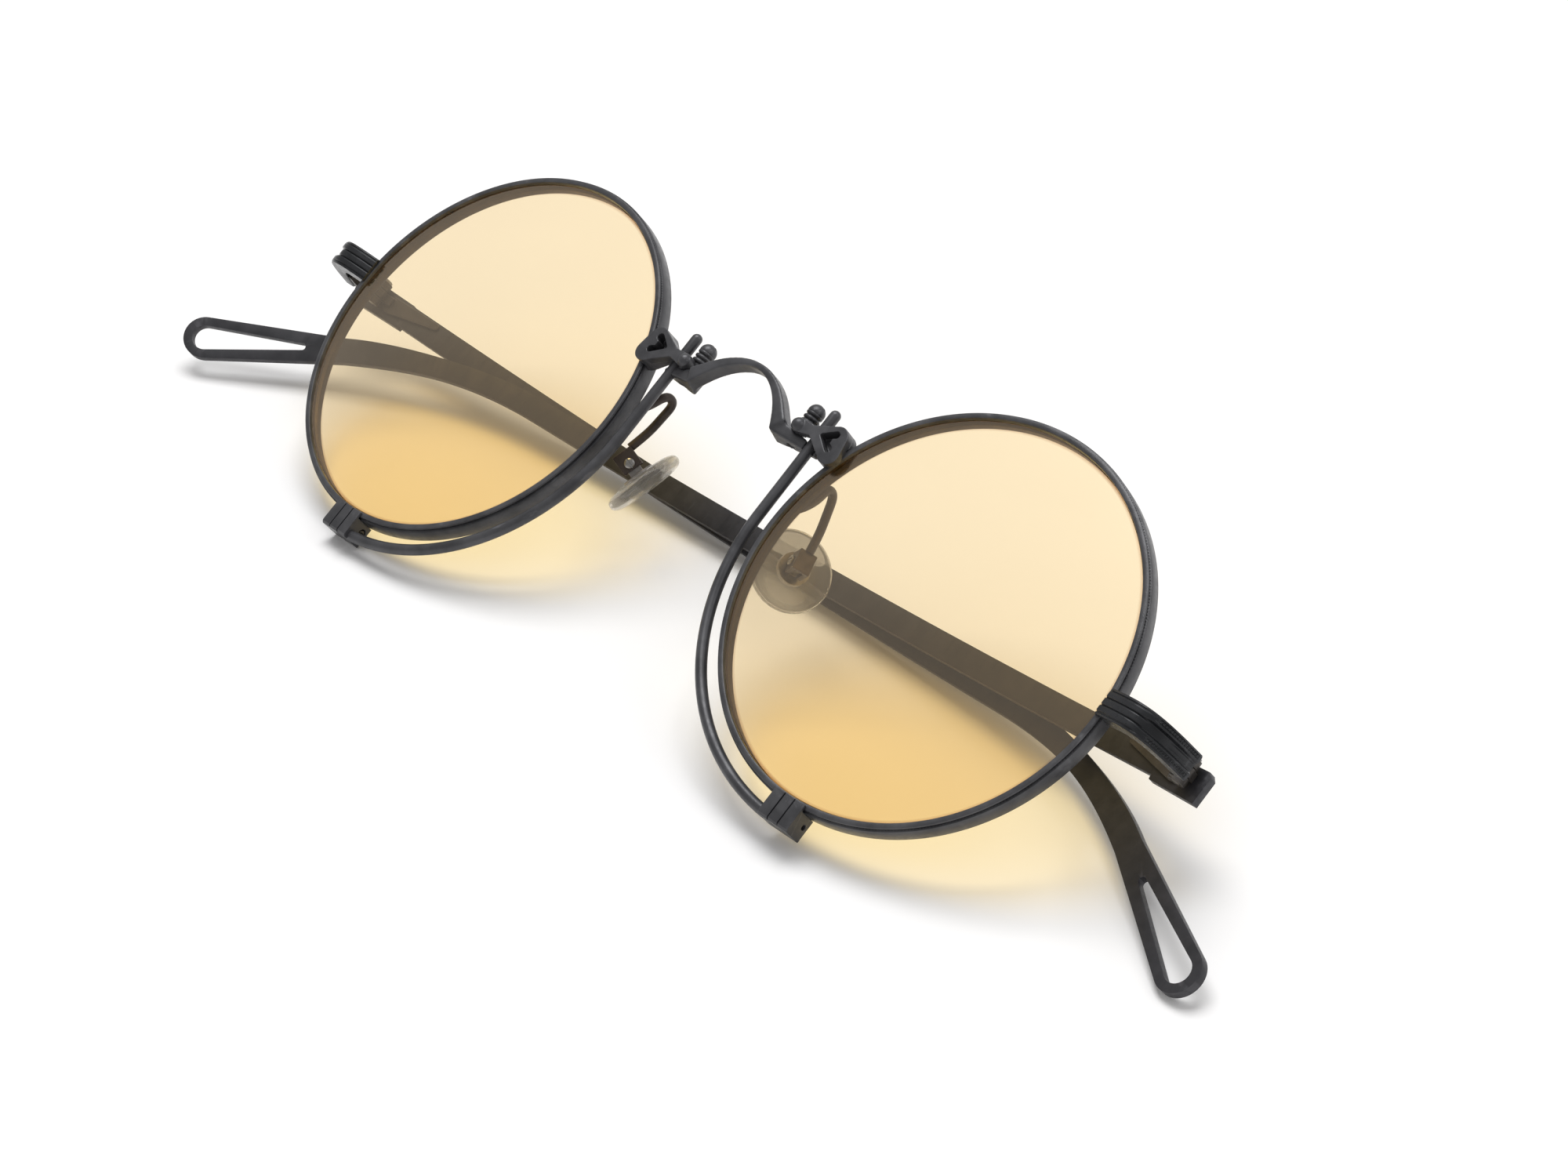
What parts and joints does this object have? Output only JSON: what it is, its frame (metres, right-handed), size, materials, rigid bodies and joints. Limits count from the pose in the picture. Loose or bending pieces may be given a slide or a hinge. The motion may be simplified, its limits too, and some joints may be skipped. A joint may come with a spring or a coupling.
{
  "type": "spectacles",
  "caption": "Round wire-rim spectacles with pale amber lenses, an arched bridge, curved trace wires, rocking nose pads and slim folding temples with pierced ends.",
  "frame": {"origin": "midway between the two lens centres, on the rims' front plane", "axes": "+X from the wearer's right lens to their left lens; +Z is the normal of the table that the folded spectacles lie on, with the lenses facing up; +Y completes the right-handed frame, towards the brow"},
  "size_m": [0.1545, 0.0407, 0.0287],
  "materials": {
    "frame_metal": "dark grey matte coating over metal wire and brazed fittings",
    "temple_metal": "near-black matte coating on a flat sprung strip, slightly brighter along its edges",
    "hinge_metal": "dark satin grey-brown metal with turned knuckles",
    "screw_steel": "small bright turned screws with slotted heads",
    "pad_metal": "dark satin brown wire, boxes and pad cores",
    "amber_lens": "clear pale amber, polished, with a ground bevel at the edge",
    "clear_pad": "clear soft plastic, polished, slightly milky"
  },
  "bodies": {
    "front": {"bridge": "frame_metal", "rim_right": "frame_metal", "lens_right": "amber_lens", "rim_block_nasal_right": "frame_metal", "rim_block_temporal_right": "frame_metal", "rim_lock_screw_right": "screw_steel", "trace_wire_right": "frame_metal", "heart_bracket_right": "frame_metal", "ribbed_stud_right": "frame_metal", "end_piece_right": "frame_metal", "front_hinge_right": "hinge_metal", "hinge_screw_right": "screw_steel", "pad_arm_right": "pad_metal", "pad_box_right": "pad_metal", "pad_screw_right": "screw_steel", "rim_left": "frame_metal", "lens_left": "amber_lens", "rim_block_nasal_left": "frame_metal", "rim_block_temporal_left": "frame_metal", "rim_lock_screw_left": "screw_steel", "trace_wire_left": "frame_metal", "heart_bracket_left": "frame_metal", "ribbed_stud_left": "frame_metal", "end_piece_left": "frame_metal", "front_hinge_left": "hinge_metal", "hinge_screw_left": "screw_steel", "pad_arm_left": "pad_metal", "pad_box_left": "pad_metal", "pad_screw_left": "screw_steel"},
    "temple_arm_right": {"temple_right": "temple_metal", "temple_hinge_right": "hinge_metal"},
    "pad_assembly_right": {"nose_pad_right": "clear_pad", "pad_insert_right": "pad_metal"},
    "temple_arm_left": {"temple_left": "temple_metal", "temple_hinge_left": "hinge_metal"},
    "pad_assembly_left": {"nose_pad_left": "clear_pad", "pad_insert_left": "pad_metal"}
  },
  "joints": [
    {"name": "temple_fold_right", "type": "hinge", "parent": "front", "child": "temple_arm_right", "pos_m": [-0.06228, 0.0062, -0.00778], "axis": [-0.0089, 0.8406, 0.5416], "range_deg": [0, 86.8]},
    {"name": "temple_fold_left", "type": "hinge", "parent": "front", "child": "temple_arm_left", "pos_m": [0.0625, 0.0062, -0.00573], "axis": [0.0089, -0.8406, -0.5416], "range_deg": [0, 88.8]},
    {"name": "pad_rock_right", "type": "hinge", "parent": "front", "child": "pad_assembly_right", "pos_m": [-0.0132, 0.00261, -0.00615], "axis": [0.6209, -0.529, 0.5784], "range_deg": [-8, 8]},
    {"name": "pad_rock_left", "type": "hinge", "parent": "front", "child": "pad_assembly_left", "pos_m": [0.0134, 0.00261, -0.00571], "axis": [0.6396, 0.529, -0.5577], "range_deg": [-8, 8]}
  ]
}
